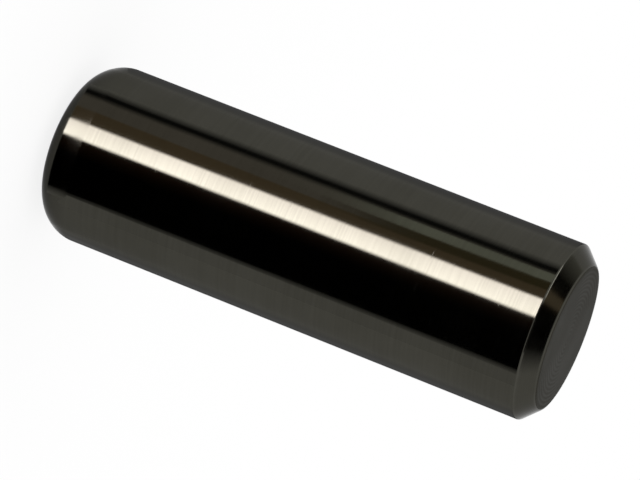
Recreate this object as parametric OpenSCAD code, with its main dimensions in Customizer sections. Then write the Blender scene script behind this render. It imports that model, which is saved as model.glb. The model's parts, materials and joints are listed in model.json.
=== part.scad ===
// Hardened steel dowel pin, turned and ground from one piece of rod.
// One end is crowned: a shallow dome runs through a shoulder radius into the wall,
// and a small flat cuts off the dome's tip. The other end has a straight chamfer,
// with its edges broken, round a plain end face.
// The pin stands on the crowned end's flat, at Z = 0, and its axis is +Z.

/* [Pin] */
// Diameter of the ground wall
pin_d = 6; // [4.8:0.1:10]
// Length over both ends
pin_l = 18; // [6:0.5:60]

/* [Chamfered end] */
// Length of the chamfer along the pin
chamfer_l = 0.55; // [0.3:0.05:1.2]
// Angle between the chamfer and the wall, in degrees
chamfer_angle = 45; // [15:1:60]
// Radius that breaks the edge between the chamfer and the wall
wall_edge_r = 0.12; // [0.02:0.02:0.4]
// Radius that breaks the edge between the chamfer and the end face
face_edge_r = 0.25; // [0.05:0.05:0.5]

/* [Crowned end] */
// Radius of the dome
dome_r = 7.5; // [4:0.1:12]
// Radius of the shoulder between the dome and the wall
shoulder_r = 1.35; // [0.5:0.05:1.6]
// Diameter of the flat on the dome's tip
flat_d = 2.4; // [1:0.1:3]

/* [Hidden] */
$fn = 128;
pin_r = pin_d / 2;

// Crowned end. The dome's centre is on the axis, as high as the flat at Z = 0 asks.
dome_z = sqrt(pow(dome_r, 2) - pow(flat_d / 2, 2));
// The shoulder's circle touches the wall, and touches the dome from the inside.
shoulder_x = pin_r - shoulder_r;
shoulder_z = dome_z - sqrt(pow(dome_r - shoulder_r, 2) - pow(shoulder_x, 2));
// The line from the dome's centre through the shoulder's, on which the dome and the
// shoulder meet, comes to Z = 0 this far from the axis.
dome_sector_x = shoulder_x * dome_z / (dome_z - shoulder_z);

// Chamfered end: the corner at each end of the chamfer, before it is broken
wall_corner = [pin_r, pin_l - chamfer_l];
face_corner = [pin_r - chamfer_l * tan(chamfer_angle), pin_l];

// Half section of the crowned end: what the dome covers, then the shoulder
module crown_section() {
    intersection() {
        translate([0, dome_z])
            circle(dome_r);
        polygon([[0, 0], [dome_sector_x, 0], [0, dome_z]]);
    }
    intersection() {
        translate([shoulder_x, shoulder_z])
            circle(shoulder_r);
        square([pin_r + shoulder_r, pin_l]);
    }
}

// Half section of the wall and of the chamfered end, with its corners still sharp
module shank_section() {
    polygon([
        [0, shoulder_z],
        [pin_r, shoulder_z],
        wall_corner,
        face_corner,
        [0, pin_l],
    ]);
}

// What comes off a section's corner to leave it round with radius r. The section's
// edge runs to the corner at angle "heading" and turns left there by "turn" degrees.
module corner_waste(corner, heading, turn, r) {
    side = r * tan(turn / 2);
    centre = [-side, r];
    translate(corner)
        rotate(heading)
            difference() {
                polygon([
                    centre,
                    [-side, 0],
                    -centre,
                    side * [cos(turn), sin(turn)],
                ]);
                translate(centre)
                    circle(r);
            }
}

module dowel_pin() {
    color("#3E3D37")
        rotate_extrude()
            difference() {
                union() {
                    crown_section();
                    shank_section();
                }
                corner_waste(wall_corner, 90, chamfer_angle, wall_edge_r);
                corner_waste(face_corner, 90 + chamfer_angle, 90 - chamfer_angle, face_edge_r);
            }
}

dowel_pin();
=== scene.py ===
"""The looks of a hardened steel dowel pin, standing on its crowned end.

The pin is turned here again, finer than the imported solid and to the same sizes, so
that its polish shows no facets. Four finishes lie on it: the ground wall, the tumbled
crown, the turned chamfer and the faced end. It stands on a white table. Cards that
only reflections see lie, stand and hang round it, for the bright metal to mirror.
"""

import json
import math

import bmesh
import bpy
from mathutils import Matrix, Vector


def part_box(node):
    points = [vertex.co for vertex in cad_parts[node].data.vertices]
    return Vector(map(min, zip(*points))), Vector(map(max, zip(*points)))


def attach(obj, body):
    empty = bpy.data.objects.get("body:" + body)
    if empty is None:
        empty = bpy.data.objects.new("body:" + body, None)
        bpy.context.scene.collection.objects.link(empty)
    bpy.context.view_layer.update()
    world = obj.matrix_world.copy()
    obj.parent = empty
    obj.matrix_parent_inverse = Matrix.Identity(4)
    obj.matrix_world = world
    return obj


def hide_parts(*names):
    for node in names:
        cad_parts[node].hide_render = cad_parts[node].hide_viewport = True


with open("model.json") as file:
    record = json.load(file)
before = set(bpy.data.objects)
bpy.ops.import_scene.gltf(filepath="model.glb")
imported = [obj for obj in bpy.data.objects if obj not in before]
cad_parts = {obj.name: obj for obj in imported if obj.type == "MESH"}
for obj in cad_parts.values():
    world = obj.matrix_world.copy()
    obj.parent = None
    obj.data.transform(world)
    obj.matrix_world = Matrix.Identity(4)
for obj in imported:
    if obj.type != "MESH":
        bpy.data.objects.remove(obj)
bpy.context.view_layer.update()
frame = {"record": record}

MM = 0.001

# The pin, in millimetres. Its radius is the record's, and its length the solid's.
mounts = {mount["name"]: mount for mount in frame["record"]["mounts"]}
PIN_R = mounts["press_wall"]["dims"]["r_mm"]
PIN_L = (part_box("dowel_pin")[1].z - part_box("dowel_pin")[0].z) / MM
CHAMFER_L = 0.55
CHAMFER_ANGLE = math.radians(45)
WALL_EDGE_R = 0.12
FACE_EDGE_R = 0.25
DOME_R = 7.5
SHOULDER_R = 1.35
FLAT_R = 1.2
WALL_TOP = PIN_L - CHAMFER_L

# The crown's circles: the dome's centre is on the axis, and the shoulder touches both
# the dome and the wall.
DOME_Z = math.sqrt(DOME_R**2 - FLAT_R**2)
SHOULDER_X = PIN_R - SHOULDER_R
SHOULDER_Z = DOME_Z - math.sqrt((DOME_R - SHOULDER_R) ** 2 - SHOULDER_X**2)

# Into how many steps the mesh divides a turn round the pin, and each stretch of the
# pin's half section.
SEGMENTS = 256
FLAT_STEPS = 4
DOME_STEPS = 10
SHOULDER_STEPS = 24
WALL_STEPS = 32
EDGE_STEPS = 8
CHAMFER_STEPS = 6
FACE_STEPS = 8

# The camera: a long lens, a little above the chamfered end, rolled so that the pin
# lies across the frame and points down to the right.
FRAME_W_PX = 640
FRAME_CENTRE_PX = (320.0, 240.0)
PIN_CENTRE_PX = (313.8, 237.9)
PIN_R_PX = 93.0
FOCAL_PX = 5000.0
SENSOR_MM = 36.0
ELEVATION = math.radians(15.1)
PIN_SLOPE = math.radians(21.55)
# From how near to how far it sees, in metres.
CLIP_M = (0.001, 10.0)

# The camera's directions and its place in millimetres, in the pin's own frame.
MM_PER_PX = PIN_R / PIN_R_PX
FORWARD = Vector((0, math.cos(ELEVATION), -math.sin(ELEVATION)))
ALONG_PIN = Vector((0, math.sin(ELEVATION), math.cos(ELEVATION)))
ACROSS_PIN = FORWARD.cross(ALONG_PIN)
RIGHT = ALONG_PIN * math.cos(PIN_SLOPE) - ACROSS_PIN * math.sin(PIN_SLOPE)
UP = -ALONG_PIN * math.sin(PIN_SLOPE) - ACROSS_PIN * math.cos(PIN_SLOPE)
OFFSET_PX = [c - p for c, p in zip(FRAME_CENTRE_PX, PIN_CENTRE_PX)]
AIM = Vector((0, 0, PIN_L / 2)) + (RIGHT * OFFSET_PX[0] - UP * OFFSET_PX[1]) * MM_PER_PX
CAMERA_PLACE = AIM - FORWARD * FOCAL_PX * MM_PER_PX


def linear(hex_colour):
    """An sRGB hex colour as the linear colour that Blender's sockets take."""
    channels = [int(hex_colour[i : i + 2], 16) / 255 for i in (1, 3, 5)]
    lights = [c / 12.92 if c <= 0.04045 else ((c + 0.055) / 1.055) ** 2.4 for c in channels]
    return (*lights, 1.0)


def add(tree, kind, inputs=None, **settings):
    """A node of that kind, with its settings, and its inputs set or linked."""
    node = tree.nodes.new(kind)
    for name, value in settings.items():
        setattr(node, name, value)
    for name, value in (inputs or {}).items():
        if isinstance(value, bpy.types.NodeSocket):
            tree.links.new(value, node.inputs[name])
        else:
            node.inputs[name].default_value = value
    return node


def spread(start, end, steps):
    """Numbers in even steps from one to another, with both of them."""
    return [start + (end - start) * i / steps for i in range(steps + 1)]


def round_pin(radius, turn, height):
    """The point that far from the pin's axis, at that angle round it from the front."""
    return Vector((radius * math.sin(turn), -radius * math.cos(turn), height))


def arc(centre, radius, start, end, steps):
    """Points on a circle in the half section, from one angle to another."""
    angles = spread(start, end, steps)
    return [(centre[0] + radius * math.cos(a), centre[1] + radius * math.sin(a)) for a in angles]


def line(start, end, steps):
    """Points on a straight stretch of the half section, without its first one."""
    radii, heights = [spread(a, b, steps)[1:] for a, b in zip(start, end)]
    return list(zip(radii, heights))


def rounded_corner(corner, heading, turn, radius):
    """The arc that rounds a corner, where the section turns left by "turn"."""
    side = radius * math.tan(turn / 2)
    centre = (
        corner[0] - side * math.cos(heading) - radius * math.sin(heading),
        corner[1] - side * math.sin(heading) + radius * math.cos(heading),
    )
    start = heading - math.pi / 2
    return arc(centre, radius, start, start + turn, EDGE_STEPS)


def pin_section():
    """The half section as stretches of one finish each: (finish, points)."""
    flat_edge = math.atan2(-DOME_Z, FLAT_R)
    meet = math.atan2(SHOULDER_Z - DOME_Z, SHOULDER_X)
    up_wall = math.pi / 2
    up_chamfer = up_wall + CHAMFER_ANGLE
    to_face = math.pi / 2 - CHAMFER_ANGLE
    face_corner = (PIN_R - CHAMFER_L * math.tan(CHAMFER_ANGLE), PIN_L)

    flat = line((0, 0), (FLAT_R, 0), FLAT_STEPS)
    dome = arc((0, DOME_Z), DOME_R, flat_edge, meet, DOME_STEPS)
    shoulder = arc((SHOULDER_X, SHOULDER_Z), SHOULDER_R, meet, 0, SHOULDER_STEPS)
    wall_edge = rounded_corner((PIN_R, WALL_TOP), up_wall, CHAMFER_ANGLE, WALL_EDGE_R)
    face_edge = rounded_corner(face_corner, up_chamfer, to_face, FACE_EDGE_R)
    wall = line(shoulder[-1], wall_edge[0], WALL_STEPS)
    chamfer = line(wall_edge[-1], face_edge[0], CHAMFER_STEPS)
    face = line(face_edge[-1], (0, PIN_L), FACE_STEPS)
    # One finish gives way to the next in the middle of each broken edge.
    past_middle = EDGE_STEPS // 2 + 1
    return [
        ("crown", flat + dome[1:] + shoulder[1:]),
        ("wall", wall + wall_edge[1:past_middle]),
        ("chamfer", wall_edge[past_middle:] + chamfer + face_edge[1:past_middle]),
        ("face", face_edge[past_middle:] + face),
    ]


def turn_pin(materials):
    """The pin as one closed mesh of revolution."""
    section = [(r, z, zone) for zone, points in pin_section() for r, z in points]
    mesh = bmesh.new()
    foot = mesh.verts.new((0, 0, 0))
    tip = mesh.verts.new((0, 0, PIN_L * MM))
    turns = spread(0, 2 * math.pi, SEGMENTS)[:-1]
    rings = [
        [mesh.verts.new((r * math.cos(a) * MM, r * math.sin(a) * MM, z * MM)) for a in turns]
        for r, z, _ in section[:-1]
    ]
    zones = list(materials)
    for i in range(SEGMENTS):
        j = (i + 1) % SEGMENTS
        mesh.faces.new((foot, rings[0][j], rings[0][i])).material_index = zones.index("crown")
        for k in range(len(rings) - 1):
            quad = (rings[k][i], rings[k][j], rings[k + 1][j], rings[k + 1][i])
            mesh.faces.new(quad).material_index = zones.index(section[k + 1][2])
        mesh.faces.new((rings[-1][i], rings[-1][j], tip)).material_index = zones.index("face")
    for face in mesh.faces:
        face.smooth = True
    data = bpy.data.meshes.new("dowel_pin_turned")
    mesh.to_mesh(data)
    mesh.free()
    for material in materials.values():
        data.materials.append(material)
    pin = bpy.data.objects.new("dowel_pin_turned", data)
    bpy.context.scene.collection.objects.link(pin)
    return pin


# The hardened steel's colour, a grey that is a little warm: where its lines are
# shallow, where they are deep, and on its rubbed edges.
STEEL_SHALLOW = "#403F39"
STEEL_DEEP = "#3B3A34"
STEEL_RUBBED = "#46453F"
# How bright the metal stays almost edge on. The polished finishes keep more of their
# shine there than the faced end, which is matt.
POLISHED_EDGE = "#C9C9C9"
MATT_EDGE = "#AEAEAE"
# How rough each finish is where it is dullest, and where it is brightest.
GROUND_ROUGHNESS = (0.13, 0.08)
TUMBLED_ROUGHNESS = (0.2, 0.12)
TURNED_ROUGHNESS = (0.18, 0.12)
FACED_ROUGHNESS = (0.42, 0.34)
# Between which values a noise mostly lies, and the sum of two.
ONE_NOISE = (0.3, 0.7)
TWO_NOISES = (0.75, 1.25)


def new_steel(name, edge):
    """A metal material: its tree, its shader, and the place on the pin in millimetres."""
    material = bpy.data.materials.new(name)
    material.use_nodes = True
    tree = material.node_tree
    tree.nodes.clear()
    shader = add(
        tree,
        "ShaderNodeBsdfPrincipled",
        {"Metallic": 1.0, "Specular Tint": linear(edge)},
    )
    add(tree, "ShaderNodeOutputMaterial", {"Surface": shader.outputs["BSDF"]})
    place = add(
        tree,
        "ShaderNodeMapping",
        {"Vector": add(tree, "ShaderNodeTexCoord").outputs["Object"], "Scale": [1 / MM] * 3},
    )
    return material, tree, shader, place.outputs["Vector"]


# The ground wall. Sizes on the finishes are in millimetres, and depths in metres. The
# real lines of its grinding lie 0.02 mm apart, and are drawn wider apart so that they
# show. Each fades along its length.
LAY_SPACING = 0.06
LAY_LENGTH = 4.0
LAY_DEPTH = 0.8e-6
# Traces of hands and oil, which dull the shine in places.
FILM_SIZE = 2.5
# Nicks from the tray: thin, slanted to the lay by these angles, and this much rougher
# than the wall. A nick begins where its noise is over the first level, and is whole
# where it is over the second.
NICK_LENGTH = 1.1
NICK_WIDTH = 0.05
NICK_SLANT = (0.25, 0.15, 0.0)
NICK_LEVELS = (0.75, 0.82)
NICK_ROUGHNESS = 0.12
NICK_DEPTH = 1.0e-6
# The wall isn't quite straight, but swells and sinks by about a micron.
SWELL_SIZE = 1.0
SWELL_HEIGHT = 1.2e-6


def centreless_ground_steel():
    """Ground between two wheels: a mirror, with fine lines that run round it."""
    material, tree, shader, place = new_steel("centreless_ground_steel", POLISHED_EDGE)
    along_lay = add(
        tree,
        "ShaderNodeMapping",
        {"Vector": place, "Scale": (1 / LAY_LENGTH, 1 / LAY_LENGTH, 1 / LAY_SPACING)},
    )
    lay = add(
        tree,
        "ShaderNodeTexNoise",
        {"Vector": along_lay.outputs["Vector"], "Scale": 1.0, "Detail": 3.0, "Roughness": 0.6},
    )
    film = add(
        tree,
        "ShaderNodeTexNoise",
        {"Vector": place, "Scale": 1 / FILM_SIZE, "Detail": 4.0, "Roughness": 0.55},
    )
    along_nicks = add(
        tree,
        "ShaderNodeMapping",
        {
            "Vector": place,
            "Rotation": NICK_SLANT,
            "Scale": (1 / NICK_LENGTH, 1 / NICK_LENGTH, 1 / NICK_WIDTH),
        },
    )
    scattered = add(
        tree,
        "ShaderNodeTexNoise",
        {"Vector": along_nicks.outputs["Vector"], "Scale": 1.0, "Detail": 1.0},
    )
    nicks = add(
        tree,
        "ShaderNodeMapRange",
        {
            "Value": scattered.outputs["Fac"],
            "From Min": NICK_LEVELS[0],
            "From Max": NICK_LEVELS[1],
        },
    )

    # The lay and the film together shade the steel and its shine, and nicks dull it.
    shade = add(
        tree,
        "ShaderNodeMath",
        {0: lay.outputs["Fac"], 1: film.outputs["Fac"]},
        operation="ADD",
    )
    depth = add(
        tree,
        "ShaderNodeMapRange",
        {"Value": shade.outputs["Value"], "From Min": TWO_NOISES[0], "From Max": TWO_NOISES[1]},
    )
    colour = add(
        tree,
        "ShaderNodeMix",
        {0: depth.outputs["Result"], 6: linear(STEEL_DEEP), 7: linear(STEEL_SHALLOW)},
        data_type="RGBA",
    )
    tree.links.new(colour.outputs[2], shader.inputs["Base Color"])
    sheen = add(
        tree,
        "ShaderNodeMapRange",
        {
            "Value": shade.outputs["Value"],
            "From Min": TWO_NOISES[0],
            "From Max": TWO_NOISES[1],
            "To Min": GROUND_ROUGHNESS[0],
            "To Max": GROUND_ROUGHNESS[1],
        },
    )
    dulled = add(
        tree,
        "ShaderNodeMath",
        {0: nicks.outputs["Result"], 1: NICK_ROUGHNESS, 2: sheen.outputs["Result"]},
        operation="MULTIPLY_ADD",
    )
    tree.links.new(dulled.outputs["Value"], shader.inputs["Roughness"])

    swell = add(
        tree,
        "ShaderNodeTexNoise",
        {"Vector": place, "Scale": 1 / SWELL_SIZE, "Detail": 2.0},
    )
    waves = add(
        tree,
        "ShaderNodeBump",
        {"Height": swell.outputs["Fac"], "Distance": SWELL_HEIGHT},
    )
    grooves = add(
        tree,
        "ShaderNodeBump",
        {"Height": lay.outputs["Fac"], "Distance": LAY_DEPTH, "Normal": waves.outputs["Normal"]},
    )
    cuts = add(
        tree,
        "ShaderNodeBump",
        {
            "Height": nicks.outputs["Result"],
            "Distance": NICK_DEPTH,
            "Normal": grooves.outputs["Normal"],
        },
        invert=True,
    )
    tree.links.new(cuts.outputs["Normal"], shader.inputs["Normal"])

    # Lines that run round the wall spread its reflections along it.
    shader.inputs["Anisotropic"].default_value = 0.8
    shader.inputs["Anisotropic Rotation"].default_value = 0.25
    tangent = add(tree, "ShaderNodeTangent", direction_type="RADIAL", axis="Z")
    tree.links.new(tangent.outputs["Tangent"], shader.inputs["Tangent"])
    return material


# The tumbled crown: the stones' dents, and broad, faint differences in the polish.
DENT_SIZE = 0.12
DENT_DEPTH = 1.0e-6
POLISH_SIZE = 1.5


def tumbled_steel():
    """Tumbled with small stones: a soft shine on a skin of tiny dents."""
    material, tree, shader, place = new_steel("barrel_tumbled_steel", POLISHED_EDGE)
    dents = add(
        tree,
        "ShaderNodeTexNoise",
        {"Vector": place, "Scale": 1 / DENT_SIZE, "Detail": 2.0},
    )
    polish = add(
        tree,
        "ShaderNodeTexNoise",
        {"Vector": place, "Scale": 1 / POLISH_SIZE, "Detail": 3.0},
    )
    colour = add(
        tree,
        "ShaderNodeMix",
        {0: polish.outputs["Fac"], 6: linear(STEEL_DEEP), 7: linear(STEEL_SHALLOW)},
        data_type="RGBA",
    )
    tree.links.new(colour.outputs[2], shader.inputs["Base Color"])
    sheen = add(
        tree,
        "ShaderNodeMapRange",
        {
            "Value": polish.outputs["Fac"],
            "From Min": ONE_NOISE[0],
            "From Max": ONE_NOISE[1],
            "To Min": TUMBLED_ROUGHNESS[0],
            "To Max": TUMBLED_ROUGHNESS[1],
        },
    )
    tree.links.new(sheen.outputs["Result"], shader.inputs["Roughness"])
    skin = add(
        tree,
        "ShaderNodeBump",
        {"Height": dents.outputs["Fac"], "Distance": DENT_DEPTH},
    )
    tree.links.new(skin.outputs["Normal"], shader.inputs["Normal"])
    return material


# The turned chamfer: the tool's feed for each turn, how long its cut stays brighter or
# duller along a ring, and how much the rings shade it beside that.
TURNED_FEED = 0.06
TURNED_DEPTH = 0.25e-6
CUT_SIZE = 0.8
TURNED_RINGS = 0.15
# Both of its edges are rubbed bright over this width, and the cut makes that uneven by
# this much.
RUB_WIDTH = 0.08
RUB_UNEVEN = 0.12


def turned_steel():
    """Turned with a pointed tool: fine rings that catch the light one by one."""
    material, tree, shader, place = new_steel("turned_steel", POLISHED_EDGE)
    height = add(tree, "ShaderNodeSeparateXYZ", {"Vector": place})
    phase = add(
        tree,
        "ShaderNodeMath",
        {0: height.outputs["Z"], 1: 2 * math.pi / TURNED_FEED},
        operation="MULTIPLY",
    )
    rings = add(tree, "ShaderNodeMath", {0: phase.outputs["Value"]}, operation="SINE")
    cut = add(
        tree,
        "ShaderNodeTexNoise",
        {"Vector": place, "Scale": 1 / CUT_SIZE, "Detail": 3.0},
    )
    mixed = add(
        tree,
        "ShaderNodeMath",
        {0: rings.outputs["Value"], 1: TURNED_RINGS, 2: cut.outputs["Fac"]},
        operation="MULTIPLY_ADD",
    )
    colour = add(
        tree,
        "ShaderNodeMix",
        {0: mixed.outputs["Value"], 6: linear(STEEL_DEEP), 7: linear(STEEL_SHALLOW)},
        data_type="RGBA",
    )

    # How far a place is from the chamfer's middle. Where the cut is middling, the rub
    # is whole at the edge.
    middle = add(
        tree,
        "ShaderNodeMath",
        {0: height.outputs["Z"], 1: WALL_TOP + CHAMFER_L / 2},
        operation="SUBTRACT",
    )
    from_middle = add(tree, "ShaderNodeMath", {0: middle.outputs["Value"]}, operation="ABSOLUTE")
    uneven = add(
        tree,
        "ShaderNodeMath",
        {0: cut.outputs["Fac"], 1: RUB_UNEVEN, 2: from_middle.outputs["Value"]},
        operation="MULTIPLY_ADD",
    )
    whole = CHAMFER_L / 2 + RUB_UNEVEN / 2
    rubbed = add(
        tree,
        "ShaderNodeMapRange",
        {"Value": uneven.outputs["Value"], "From Min": whole - RUB_WIDTH, "From Max": whole},
    )
    worn = add(
        tree,
        "ShaderNodeMix",
        {0: rubbed.outputs["Result"], 6: colour.outputs[2], 7: linear(STEEL_RUBBED)},
        data_type="RGBA",
    )
    tree.links.new(worn.outputs[2], shader.inputs["Base Color"])
    sheen = add(
        tree,
        "ShaderNodeMapRange",
        {
            "Value": mixed.outputs["Value"],
            "From Min": ONE_NOISE[0],
            "From Max": ONE_NOISE[1],
            "To Min": TURNED_ROUGHNESS[0],
            "To Max": TURNED_ROUGHNESS[1],
        },
    )
    tree.links.new(sheen.outputs["Result"], shader.inputs["Roughness"])
    grooves = add(
        tree,
        "ShaderNodeBump",
        {"Height": rings.outputs["Value"], "Distance": TURNED_DEPTH},
    )
    tree.links.new(grooves.outputs["Normal"], shader.inputs["Normal"])
    return material


# The faced end. The tool's real feed is 0.05 mm, and its rings are drawn wider apart so
# that they show.
FACED_SPACING = 0.15
FACED_DEPTH = 0.6e-6
# How far the rings wander, over what length, and how much they shade the end beside its
# broad differences.
WANDER = 0.05
WANDER_SIZE = 2.0
FACED_RINGS = 0.18
# The grain that the tumbling leaves over the rings.
GRAIN_SIZE = 0.05
GRAIN_DEPTH = 0.8e-6


def faced_steel():
    """Faced across the rod's end: matt, with rings round its middle."""
    material, tree, shader, place = new_steel("faced_steel", MATT_EDGE)
    flat_place = add(tree, "ShaderNodeMapping", {"Vector": place, "Scale": (1, 1, 0)})
    wander = add(
        tree,
        "ShaderNodeTexNoise",
        {"Vector": place, "Scale": 1 / WANDER_SIZE, "Detail": 3.0},
    )
    radius = add(
        tree,
        "ShaderNodeVectorMath",
        {0: flat_place.outputs["Vector"]},
        operation="LENGTH",
    )
    wandering = add(
        tree,
        "ShaderNodeMath",
        {0: wander.outputs["Fac"], 1: WANDER, 2: radius.outputs["Value"]},
        operation="MULTIPLY_ADD",
    )
    phase = add(
        tree,
        "ShaderNodeMath",
        {0: wandering.outputs["Value"], 1: 2 * math.pi / FACED_SPACING},
        operation="MULTIPLY",
    )
    rings = add(tree, "ShaderNodeMath", {0: phase.outputs["Value"]}, operation="SINE")
    grain = add(
        tree,
        "ShaderNodeTexNoise",
        {"Vector": place, "Scale": 1 / GRAIN_SIZE, "Detail": 2.0},
    )
    mixed = add(
        tree,
        "ShaderNodeMath",
        {0: rings.outputs["Value"], 1: FACED_RINGS, 2: wander.outputs["Fac"]},
        operation="MULTIPLY_ADD",
    )
    colour = add(
        tree,
        "ShaderNodeMix",
        {0: mixed.outputs["Value"], 6: linear(STEEL_DEEP), 7: linear(STEEL_SHALLOW)},
        data_type="RGBA",
    )
    tree.links.new(colour.outputs[2], shader.inputs["Base Color"])
    sheen = add(
        tree,
        "ShaderNodeMapRange",
        {
            "Value": mixed.outputs["Value"],
            "From Min": ONE_NOISE[0],
            "From Max": ONE_NOISE[1],
            "To Min": FACED_ROUGHNESS[0],
            "To Max": FACED_ROUGHNESS[1],
        },
    )
    tree.links.new(sheen.outputs["Result"], shader.inputs["Roughness"])
    grooves = add(
        tree,
        "ShaderNodeBump",
        {"Height": rings.outputs["Value"], "Distance": FACED_DEPTH},
    )
    skin = add(
        tree,
        "ShaderNodeBump",
        {
            "Height": grain.outputs["Fac"],
            "Distance": GRAIN_DEPTH,
            "Normal": grooves.outputs["Normal"],
        },
    )
    tree.links.new(skin.outputs["Normal"], shader.inputs["Normal"])
    return material


def sheet(name, points, faces, material):
    """A thin surface of one material, through points in metres."""
    data = bpy.data.meshes.new(name)
    data.from_pydata(points, [], faces)
    data.materials.append(material)
    surface = bpy.data.objects.new(name, data)
    bpy.context.scene.collection.objects.link(surface)
    return surface


# The table reaches this far from the pin, in metres, and fills every view.
TABLE_REACH_M = 1.5
# How much of the table's shadows is filled where the camera sees them, and where the
# pin mirrors them. The crown mirrors the deep shade right under it.
SHADOW_LIFT = 0.85
MIRRORED_LIFT = 0.2


def white_table():
    """A sheet of matt white paper under the pin."""
    half = TABLE_REACH_M
    corners = [(-half, -half, 0), (half, -half, 0), (half, half, 0), (-half, half, 0)]
    paper = bpy.data.materials.new("matt_white_paper")
    paper.use_nodes = True
    tree = paper.node_tree
    tree.nodes.clear()
    matt = add(tree, "ShaderNodeBsdfDiffuse", {"Color": linear("#FFFFFF")})
    white = add(tree, "ShaderNodeEmission", {"Color": linear("#FFFFFF"), "Strength": 1.0})
    path = add(tree, "ShaderNodeLightPath")
    mirrored_lift = add(
        tree,
        "ShaderNodeMath",
        {0: path.outputs["Is Glossy Ray"], 1: MIRRORED_LIFT},
        operation="MULTIPLY",
    )
    lift = add(
        tree,
        "ShaderNodeMath",
        {0: path.outputs["Is Camera Ray"], 1: SHADOW_LIFT, 2: mirrored_lift.outputs["Value"]},
        operation="MULTIPLY_ADD",
    )
    surface = add(
        tree,
        "ShaderNodeMixShader",
        {0: lift.outputs["Value"], 1: matt.outputs["BSDF"], 2: white.outputs["Emission"]},
    )
    add(tree, "ShaderNodeOutputMaterial", {"Surface": surface.outputs["Shader"]})
    sheet("white_table", corners, [(0, 1, 2, 3)], paper)


# Each card is a painted reflection: it glows for mirrored rays only, and lights and shades
# nothing else.
def card(name, rows, shades, glow):
    """A glowing card through rows of points in millimetres, seen only in reflections.

    Its shade blends from the first row to the last.
    """
    material = bpy.data.materials.new(name)
    material.use_nodes = True
    tree = material.node_tree
    tree.nodes.clear()
    shade = add(tree, "ShaderNodeAttribute", attribute_name="shade")
    light = add(tree, "ShaderNodeEmission", {"Color": shade.outputs["Color"], "Strength": glow})
    add(tree, "ShaderNodeOutputMaterial", {"Surface": light.outputs["Emission"]})

    in_row = len(rows[0])
    last = len(rows) - 1
    points = [tuple(Vector(point) * MM) for row in rows for point in row]
    faces = [
        (k, k + 1, k + 1 + in_row, k + in_row)
        for first in range(0, last * in_row, in_row)
        for k in range(first, first + in_row - 1)
    ]
    surface = sheet(name, points, faces, material)
    first_shade, last_shade = [Vector(linear(shade)) for shade in shades]
    tones = surface.data.attributes.new("shade", "FLOAT_COLOR", "POINT")
    for i in range(len(points)):
        tones.data[i].color = first_shade.lerp(last_shade, (i // in_row) / last)
    surface.visible_camera = False
    surface.visible_diffuse = False
    surface.visible_shadow = False
    surface.visible_transmission = False
    surface.visible_volume_scatter = False


# The pin mirrors what lies on the table. A card lies there for each band of its shine,
# each this much over the one before it. The cards are painted reflections: the pin's
# mirror alone sees them, and they light nothing. All sizes from here on are in millimetres.
CARD_LIFT = 0.02
# A card starts at what the shoulder mirrors where it dips this much. Near the pin's
# outline the shoulder would be narrower there than the card's side. Such a card starts
# where this share of the narrowing down to its side is done.
START_DIP = math.radians(36)
NARROWED = 0.98
# It goes this many times as far out as what the pin's top mirrors, and ends there in an
# upright rim as high as the wall.
CARD_END = 1.25
# Into how many steps its lines divide the shoulder and the wall, and how far apart, at
# most, they lie in parts of the radius.
LINE_STEPS_ON_SHOULDER = 6
LINE_STEPS_ON_WALL = 8
LINES_APART = 0.05
# How bright the painted strip highlight is, and how far up the pin the two stripes start.
STRIP_GLOW = 21.2
STRIPES_FROM = 11.0
# The cards. For each of a card's two sides: how far off the pin's axis it shows, in
# parts of the radius, at the crown and at the chamfer. Then its shades at both sides,
# its glow, and the height on the pin from which it shows. A band with a soft edge has a
# narrow card there, whose shades differ. Far and near are the pin's upper and lower
# side as the camera sees it.
TABLE_CARDS = [
    ("far_rim_board", (-0.996, -0.996), (-0.98, -0.98), ("#383838", "#878787"), 1.0, 0.0),
    ("far_side_board", (-0.98, -0.98), (-0.9, -0.9), ("#878787", "#FFFFFF"), 1.0, 0.0),
    ("dark_line_above", (-0.66, -0.695), (-0.592, -0.625), ("#FFFFFF", "#484848"), 1.0, 0.0),
    ("dark_line", (-0.592, -0.625), (-0.56, -0.592), ("#363636", "#363636"), 1.0, 0.0),
    ("dark_line_below", (-0.56, -0.592), (-0.515, -0.54), ("#484848", "#D6CEC6"), 1.0, 0.0),
    ("grey_board", (-0.515, -0.54), (-0.39, -0.39), ("#D6CEC6", "#D6CEC6"), 1.0, 0.0),
    ("brown_board", (-0.39, -0.39), (-0.25, -0.292), ("#C8B090", "#C8B090"), 1.0, 0.0),
    # The next three cards glow for mirrored rays only. They paint the pin's long highlight and
    # its soft edges, and light nothing.
    ("strip_edge", (-0.25, -0.292), (-0.222, -0.267), ("#30281E", "#EAE4E8"), STRIP_GLOW, 0.0),
    ("strip_highlight", (-0.222, -0.267), (-0.078, -0.099), ("#EAE4E8", "#FFFBFD"), STRIP_GLOW, 0.0),
    ("strip_foot", (-0.078, -0.099), (-0.046, -0.067), ("#FFFBFD", "#140E08"), STRIP_GLOW, 0.0),
    ("brown_velvet", (-0.046, -0.067), (0.12, 0.1), ("#4A301C", "#000000"), 1.0, 0.0),
    ("black_velvet", (0.12, 0.1), (0.515, 0.5), ("#000000", "#000000"), 1.0, 0.0),
    ("velvet_edge", (0.515, 0.5), (0.6, 0.575), ("#606060", "#FFFFFF"), 1.0, 0.0),
    ("near_side_board", (0.9, 0.9), (0.98, 0.98), ("#FFFFFF", "#878787"), 1.0, 0.0),
    ("near_rim_board", (0.98, 0.98), (0.996, 0.996), ("#878787", "#383838"), 1.0, 0.0),
    ("pale_stripe", (-0.525, -0.565), (-0.4, -0.477), ("#EEF4E6", "#EEF4E6"), 1.35, STRIPES_FROM),
    ("brown_stripe", (-0.4, -0.477), (-0.308, -0.385), ("#8E815E", "#8E815E"), 1.0, STRIPES_FROM),
]
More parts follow.
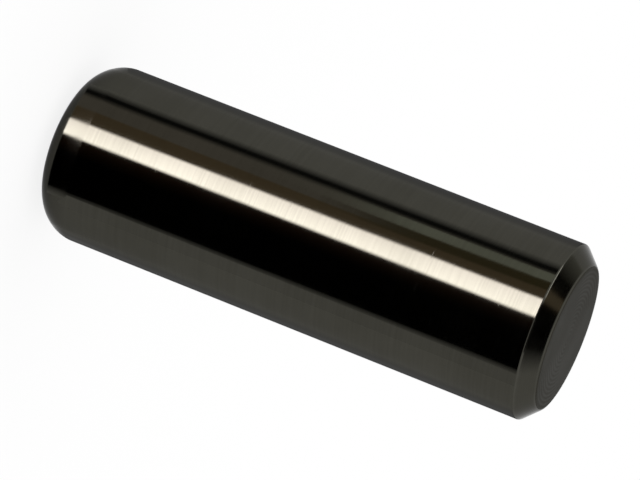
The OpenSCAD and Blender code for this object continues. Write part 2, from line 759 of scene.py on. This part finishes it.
# Behind the pin, where its own sides hide it from the front, a narrow glowing strip that
# paints a highlight on the pin and lights nothing: from where to where across, and from
# where to where back.
BACK_STRIP_X = (-2.5, 0.4)
BACK_STRIP_Y = (3.4, 100.0)
BACK_STRIP_SHADES = ("#FFFAFF", "#FFFAFF")
BACK_STRIP_GLOW = 7.0


def mirrored(normal, to_camera):
    """The way from a surface to what the camera sees mirrored in it."""
    return 2 * normal.dot(to_camera) * normal - to_camera


def mirrored_on_table(part, height, lift):
    """Where the camera's ray ends up that the pin mirrors at that part of its radius."""
    dip = math.asin(max(0, SHOULDER_Z - height) / SHOULDER_R)
    radius = SHOULDER_X + SHOULDER_R * math.cos(dip)
    turn = math.asin(part * PIN_R / radius)
    place = round_pin(radius, turn, height)
    normal = round_pin(1, turn, 0) * math.cos(dip)
    normal.z = -math.sin(dip)
    ray = mirrored(normal, (CAMERA_PLACE - place).normalized())
    return place - ray * (height - lift) / ray.z


def table_line(side, lift, height):
    """The line on the table that the pin mirrors as a straight one, and up its rim."""
    outer = max(abs(part) for part in side)
    narrowed = 1 - NARROWED * (1 - outer) * PIN_R / SHOULDER_R
    dip = math.acos(max(math.cos(START_DIP), narrowed))
    start = max(height, SHOULDER_Z - SHOULDER_R * math.sin(dip))
    heights = spread(start, PIN_L, LINE_STEPS_ON_WALL)
    if start < SHOULDER_Z:
        heights = spread(start, SHOULDER_Z, LINE_STEPS_ON_SHOULDER)[:-1] + heights[1:]
    points = [
        mirrored_on_table(side[0] + (side[1] - side[0]) * (z / PIN_L), z, lift) for z in heights
    ]
    end = points[-1] * CARD_END
    end.z = lift
    rim = Vector((end.x, end.y, WALL_TOP))
    return points + [end, rim]


def set_table_cards():
    """Lays the cards on the table, and the glowing strip behind the pin that paints a highlight.
    """
    for order, (name, start, end, shades, glow, height) in enumerate(TABLE_CARDS):
        steps = max(1, math.ceil((end[0] - start[0]) / LINES_APART))
        lift = CARD_LIFT * (order + 1)
        at_crown, at_chamfer = [spread(a, b, steps) for a, b in zip(start, end)]
        rows = [table_line(side, lift, height) for side in zip(at_crown, at_chamfer)]
        card(name, rows, shades, glow)
    near, far = BACK_STRIP_Y
    strip = [
        [(x, near, CARD_LIFT), (x, far, CARD_LIFT), (x, far, WALL_TOP)] for x in BACK_STRIP_X
    ]
    card("back_highlight_strip", strip, BACK_STRIP_SHADES, BACK_STRIP_GLOW)


# What the chamfered end mirrors to the front. The chamfer's flags hang high over the
# pin, and those for its broken edge are narrow tapes close to it, so that little else
# mirrors them. Like the table's cards, they are painted reflections that light nothing.
# How far from the edge they hang:
HIGH = 110.0
NEAR = 3.5
CLOSE = 1.5
# For each flag: the angles round the pin where it starts and ends, its shades at both,
# its glow, the least and the most that the surface leans which mirrors it, and how far
# it hangs. Angles and leans are in degrees. The wall leans 0, and the chamfer 45.
FLAGS = [
    ("flag_far", -58.0, -36.0, ("#D0D0C8", "#34302A"), 1.0, (37, 50), HIGH),
    ("flag_middle", -36.0, -24.0, ("#1C1814", "#1C1814"), 1.0, (37, 50), HIGH),
    ("flag_gap", -24.0, -15.0, ("#D0BCA0", "#D0BCA0"), 1.0, (37, 50), HIGH),
    ("flag_near", -15.0, 15.0, ("#000000", "#000000"), 1.0, (37, 50), HIGH),
    ("flag_edge", 15.0, 33.0, ("#282828", "#FFFFFF"), 1.0, (37, 50), HIGH),
    # The bright tape glows and paints a thin glint on the broken edge; it lights nothing.
    ("glint_tape", -44.0, -18.0, ("#FFFFFF", "#FFFFFF"), 4.0, (26, 36), CLOSE),
    ("black_tape", -14.0, 18.0, ("#000000", "#000000"), 1.0, (14, 36), NEAR),
]
# How many degrees apart a flag's lines lie at most, and into how many steps each of
# them divides the leans.
FLAG_LINES_APART = 4
LEAN_STEPS = 4


def flag_line(degrees, leans, distance):
    """The points that the end's edge mirrors at that angle round it, over those leans."""
    outward = round_pin(1, math.radians(degrees), 0)
    edge = outward * PIN_R
    edge.z = WALL_TOP
    to_camera = (CAMERA_PLACE - edge).normalized()
    row = []
    for lean in spread(*leans, LEAN_STEPS):
        normal = outward * math.cos(math.radians(lean))
        normal.z = math.sin(math.radians(lean))
        row.append(edge + distance * mirrored(normal, to_camera))
    return row


def set_flags():
    """Hangs the flags and the tapes over the chamfered end."""
    for name, start, end, shades, glow, leans, distance in FLAGS:
        turns = spread(start, end, math.ceil((end - start) / FLAG_LINES_APART))
        card(name, [flag_line(turn, leans, distance) for turn in turns], shades, glow)


# Upright screens that stand out from the wall's two flanks. They keep the painted strip
# highlight from glaring there, where it would burn the pin's outline away for someone
# who looks from behind. Like the cards, they show only in reflections. Each has a front
# and, a hair behind it, a back of another shade. For each of these: its angle round the
# pin in degrees, its width, and its shades from the wall out.
SCREENS = [
    ("near_screen_front", 42.5, 1.0, ("#F4F4F4", "#F4F4F4")),
    ("near_screen_back", 42.52, 1.0, ("#000000", "#000000")),
    ("far_screen_front", -84.0, 0.6, ("#6A6A6A", "#E8E8E8")),
    ("far_screen_back", -84.02, 0.6, ("#FFFFFF", "#FFFFFF")),
]
# How far they stand off the wall, and how far over the table they start.
SCREEN_GAP = 0.012
SCREEN_FOOT = 1.1


def set_screens():
    """Stands the screens beside the wall, up to its top."""
    inner = PIN_R + SCREEN_GAP
    for name, degrees, width, shades in SCREENS:
        turn = math.radians(degrees)
        rows = [
            [round_pin(radius, turn, height) for height in (SCREEN_FOOT, WALL_TOP)]
            for radius in (inner, inner + width)
        ]
        card(name, rows, shades, 1.0)


# A white collar round the top of the wall, as wide as the cards reach. It keeps the
# chamfer from mirroring the glowing cards on the table, and the wall doesn't see it.
COLLAR_GAP = 0.02
COLLAR_R = 130.0
COLLAR_STEPS = 64


def set_collar():
    """Puts the collar round the pin."""
    turns = spread(0, 2 * math.pi, COLLAR_STEPS)
    rows = [
        [round_pin(radius, turn, WALL_TOP) for turn in turns]
        for radius in (PIN_R + COLLAR_GAP, COLLAR_R)
    ]
    card("white_collar", rows, ("#FFFFFF", "#FFFFFF"), 1.0)


def set_world():
    """A plain white room, which lights the pin evenly."""
    world = bpy.data.worlds.new("white_room")
    world.use_nodes = True
    tree = world.node_tree
    tree.nodes.clear()
    light = add(tree, "ShaderNodeBackground", {"Color": linear("#FFFFFF"), "Strength": 1.0})
    add(tree, "ShaderNodeOutputWorld", {"Surface": light.outputs["Background"]})
    bpy.context.scene.world = world


def set_camera():
    """Puts the camera in its place, and turns it to the pin."""
    data = bpy.data.cameras.new("camera")
    data.sensor_fit = "HORIZONTAL"
    data.sensor_width = SENSOR_MM
    data.lens = FOCAL_PX * SENSOR_MM / FRAME_W_PX
    data.clip_start, data.clip_end = CLIP_M
    camera = bpy.data.objects.new("camera", data)
    bpy.context.scene.collection.objects.link(camera)
    rows = [[RIGHT[i], UP[i], -FORWARD[i], CAMERA_PLACE[i] * MM] for i in range(3)]
    camera.matrix_world = Matrix(rows + [[0, 0, 0, 1]])
    bpy.context.scene.camera = camera


finishes = {
    "crown": tumbled_steel(),
    "wall": centreless_ground_steel(),
    "chamfer": turned_steel(),
    "face": faced_steel(),
}
pin = turn_pin(finishes)
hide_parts("dowel_pin")
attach(pin, "root")
white_table()
set_table_cards()
set_flags()
set_screens()
set_collar()
set_world()
set_camera()
bpy.context.scene.view_settings.view_transform = "Standard"
